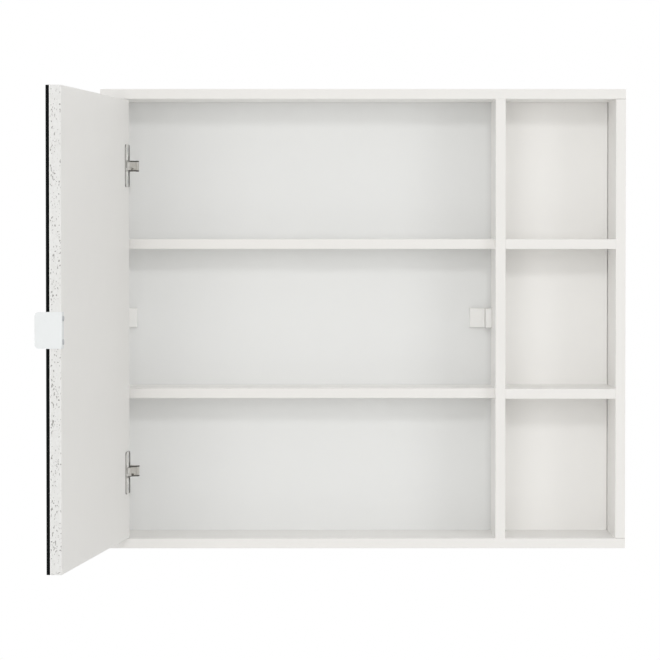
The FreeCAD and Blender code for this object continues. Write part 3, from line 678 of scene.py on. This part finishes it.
def roundedHead(headRadius, length):
    rise = roundHead["rise"]
    domeRise = rise * roundHead["domeShare"]
    flat = headRadius * roundHead["flatShare"]
    dome = []
    for step in range(roundHead["domeSteps"] + 1):
        turn = math.pi / 2 * step / roundHead["domeSteps"]
        dome.append((flat + (headRadius - flat) * math.sin(turn), domeRise * (math.cos(turn) - 1)))
    return dome + [(headRadius, -rise)] + threadedShank(roundHead["shankRadius"], rise, length)


def crossHeadScrew(mesh, top, outward, profile, crossRadius):
    # a turned screw with a cross recess in its top
    side, other = axesFor(outward)
    rings = latheRings(mesh, top, outward, profile, screwHead["around"])
    joinRings(mesh, rings)
    mesh.faces.new(rings[-1])
    reach = crossRadius * screwHead["crossReach"]
    width = crossRadius * screwHead["crossWidth"]
    corners = []
    for quarter in range(4):
        angle = quarter * math.pi / 2
        ahead = side * math.cos(angle) + other * math.sin(angle)
        across = outward.cross(ahead)
        corners += [ahead * reach - across * width,
                    ahead * reach + across * width,
                    ahead * width + across * width]
    upper = [mesh.verts.new(top + corner) for corner in corners]
    bottom = top - outward * crossRadius * screwHead["crossDepth"]
    lower = [mesh.verts.new(bottom + corner * screwHead["crossTaper"]) for corner in corners]
    joinRings(mesh, [upper, lower])
    mesh.faces.new(lower)
    outline = [vertex.co.copy() for vertex in rings[0]]
    hole = [vertex.co.copy() for vertex in upper]
    points = rings[0] + upper
    for triangle in tessellate_polygon([outline, hole]):
        mesh.faces.new([points[index] for index in triangle])


def replaceScrews(node, outward, body, head):
    mesh = bmesh.new()
    for points in islandsOf(node):
        high = max(point.dot(outward) for point in points)
        low = min(point.dot(outward) for point in points)
        tip = [point for point in points if point.dot(outward) < low + tipWithin]
        centre = sum(tip, Vector()) / len(tip)
        centre += outward * (high - centre.dot(outward))
        spokes = [point - centre for point in points]
        headRadius = max((spoke - outward * spoke.dot(outward)).length for spoke in spokes)
        crossRadius = headRadius if head is sunkHead else headRadius * roundHead["crossShare"]
        crossHeadScrew(mesh, centre, outward, head(headRadius, high - low), crossRadius)
    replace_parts(pieceFrom(mesh, "screws." + node, zinc, body), node)


screwSets = {  # the way their heads face, their body and their kind of head
    "cup_screws_upper": (doorInward, "door", sunkHead),
    "cup_screws_lower": (doorInward, "door", sunkHead),
    "handle_screws": (doorInward, "door", roundedHead),
    "plate_screws_upper": (rightward, "cabinet", sunkHead),
    "plate_screws_lower": (rightward, "cabinet", sunkHead),
    "hanger_screws_left": (rearward, "cabinet", sunkHead),
    "hanger_screws_right": (rearward, "cabinet", sunkHead),
}
for node, (outward, body, head) in screwSets.items():
    replaceScrews(node, outward, body, head)
print("screws made:", len(screwSets), "sets")


# back panel, with its field run up to the top and bottom boards

backPanel = {"joint": 0.0001, "faceWithin": 0.0001, "cornerWithin": 0.00002}  # the joint stays open there


def replaceBackPanel():
    source = nodes["back_panel"].data
    faceDepth = min(vertex.co.y for vertex in source.vertices) + backPanel["faceWithin"]
    field = [vertex.co.z for vertex in source.vertices if vertex.co.y < faceDepth]
    ends = {
        min(field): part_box("bottom_panel")[1].z + backPanel["joint"],
        max(field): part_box("top_panel")[0].z - backPanel["joint"],
    }
    mesh = bmesh.new()
    corners = {}

    def heightFor(height):
        for end, target in ends.items():
            if abs(height - end) < backPanel["cornerWithin"]:
                return target
        return height

    def cornerAt(place):
        key = tuple(round(value, 7) for value in place)
        if key not in corners:
            corners[key] = mesh.verts.new((place.x, place.y, heightFor(place.z)))
        return corners[key]

    for face in source.polygons:
        mesh.faces.new([cornerAt(source.vertices[index].co) for index in face.vertices])
    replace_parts(pieceFrom(mesh, "panel.back", backWhite, "cabinet"), "back_panel")


replaceBackPanel()
print("back panel made")


# rivets that close the hinge arm's pins

rivet = {
    "headRadius": 0.0021, "headHeight": 0.00055, "around": 32, "seat": 0.00001, "endWithin": 0.0001,
    "dome": ((0.35, 1.0), (0.72, 0.82), (0.95, 0.4), (1.0, 0.06)), "footShare": 0.98,
    "bluntShare": 0.88, "bluntDrop": 0.12,
}


def replaceRivets(node):
    mesh = bmesh.new()
    bottom, top = (corner.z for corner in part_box(node))
    head = rivet["headRadius"]
    seat = rivet["seat"]
    dome = [(head * size, rivet["headHeight"] * rise) for size, rise in rivet["dome"]]
    dome.append((head * rivet["footShare"], seat))
    for points in islandsOf(node):
        high = max(point.z for point in points)
        low = min(point.z for point in points)
        foot = [point for point in points if abs(point.z - low) < seat]
        centre = sum(foot, Vector()) / len(foot)
        radius = max((point - centre).length for point in foot)
        riveted = dome + [(radius, seat)]
        blunt = [(radius * rivet["bluntShare"], 0.0), (radius, -radius * rivet["bluntDrop"])]
        lower = riveted if low < bottom + rivet["endWithin"] else blunt
        upper = riveted if high > top - rivet["endWithin"] else blunt
        profile = [(size, -rise) for size, rise in lower]
        profile += [(size, high - low + rise) for size, rise in reversed(upper)]
        rings = latheRings(mesh, centre, upward, profile, rivet["around"])
        joinRings(mesh, rings)
        mesh.faces.new(rings[0])
        mesh.faces.new(rings[-1])
    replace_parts(pieceFrom(mesh, "rivets." + node, pinSteel, "cabinet"), node)


for node in ("arm_pins_upper", "arm_pins_lower"):
    replaceRivets(node)
print("rivets made")


# stage, light and camera

stage = {
    "height": -1.9, "radius": 7.4, "around": 96, "fade": (3.2, 7.0),
    "colour": (0.80, 0.80, 0.79), "cloud": (0.77, 0.77, 0.76), "cloudSize": 1.2, "roughness": 0.7,
}
sky = {
    "colour": (1.0, 1.0, 0.995), "low": 0.64, "high": 0.80, "rise": (-0.6, 0.9),
    "mirrorHigh": 0.98, "mirrorRise": (-0.25, 0.12),
}
horizonGlow = 0.55  # what mirrored rays find where the floor meets the sky
noLight = (0, 0, 0)
fullLight = (1, 1, 1)


def makeFloor():
    paint = Paint("floorPale")
    cloud = paint.noise(stage["cloudSize"], 3.0)
    away = (paint.place * levelOnly).length().step(*stage["fade"])
    colour = paint.blend(cloud * 0.3, stage["colour"], stage["cloud"])
    mirrored = paint.add("ShaderNodeLightPath", out="Is Glossy Ray")
    rim = paint.blend(mirrored, fullLight, (horizonGlow, horizonGlow, horizonGlow))
    finish = paint.finish(BaseColor=paint.blend(away, colour, noLight),
                          Roughness=stage["roughness"] + cloud * 0.1,
                          EmissionColor=paint.blend(away, noLight, rim), EmissionStrength=1.0)
    mesh = bmesh.new()
    middle = Vector((0, 0, stage["height"]))
    rings = latheRings(mesh, middle, upward, [(stage["radius"], 0)], stage["around"])
    mesh.faces.new(rings[0])
    data = bpy.data.meshes.new("floor")
    mesh.to_mesh(data)
    mesh.free()
    floor = bpy.data.objects.new("floor", data)
    scene.collection.objects.link(floor)
    dress(floor, finish)


def makeWorld():
    # plain white to the eye, a soft sky, lighter overhead, for the light, and a steeper one in the mirror
    paint = Paint("studio", bpy.data.worlds)
    climb = paint.place.dot(upward)
    strength = sky["low"] + climb.step(*sky["rise"]) * (sky["high"] - sky["low"])
    reflected = horizonGlow + climb.step(*sky["mirrorRise"]) * (sky["mirrorHigh"] - horizonGlow)
    mirrored = paint.add("ShaderNodeLightPath", out="Is Glossy Ray")
    strength = strength + mirrored * (reflected - strength)
    soft = paint.add("ShaderNodeBackground", None, {"Color": sky["colour"], "Strength": strength})
    plain = paint.add("ShaderNodeBackground", None, {"Color": fullLight, "Strength": 1.0})
    seen = paint.add("ShaderNodeLightPath", out="Is Camera Ray")
    both = paint.add("ShaderNodeMixShader", None, {0: seen, 1: soft, 2: plain})
    paint.fill(paint.tree.nodes["World Output"].inputs["Surface"], both)
    scene.world = paint.block


softboxes = {  # place, aim, size, watts
    "front": ((-1.4, -6.0, 0.1), (0.0, -0.1, -0.3), 1.6, 43.5),
    "right": ((3.4, -4.9, 0.2), (0.0, -0.1, -0.3), 1.8, 31.0),
    "key": ((0.3, -4.5, 1.05), (0.0, -0.1, -0.3), 0.35, 23.5),
    "rear": ((1.8, 4.2, 1.4), (0.0, 0.0, -0.3), 1.6, 24.0),
}


def makeLights():
    for name, (place, aim, size, watts) in softboxes.items():
        light = bpy.data.lights.new(name, "AREA")
        light.size = size
        light.energy = watts
        light.shape = "SQUARE"
        lamp = bpy.data.objects.new(name, light)
        scene.collection.objects.link(lamp)
        lamp.visible_camera = False
        lamp.visible_glossy = False
        lamp.location = place
        lamp.rotation_euler = (Vector(aim) - Vector(place)).to_track_quat("-Z", "Y").to_euler()


view = {
    "place": (-0.066, -5.426, -0.147), "pitchDown": 1.715, "yawRight": 0.17,  # metres and degrees
    "lens": 188.6, "sensor": 36.0, "clipEnd": 60.0,
}


def makeCamera():
    lens = bpy.data.cameras.new("camera")
    lens.lens = view["lens"]
    lens.sensor_width = view["sensor"]
    lens.clip_end = view["clipEnd"]
    camera = bpy.data.objects.new("camera", lens)
    scene.collection.objects.link(camera)
    camera.location = view["place"]
    camera.rotation_euler = (math.radians(90 - view["pitchDown"]), 0, math.radians(-view["yawRight"]))
    scene.camera = camera


makeFloor()
makeWorld()
makeLights()
makeCamera()
scene.view_settings.view_transform = "Standard"
print("stage, light and camera set")
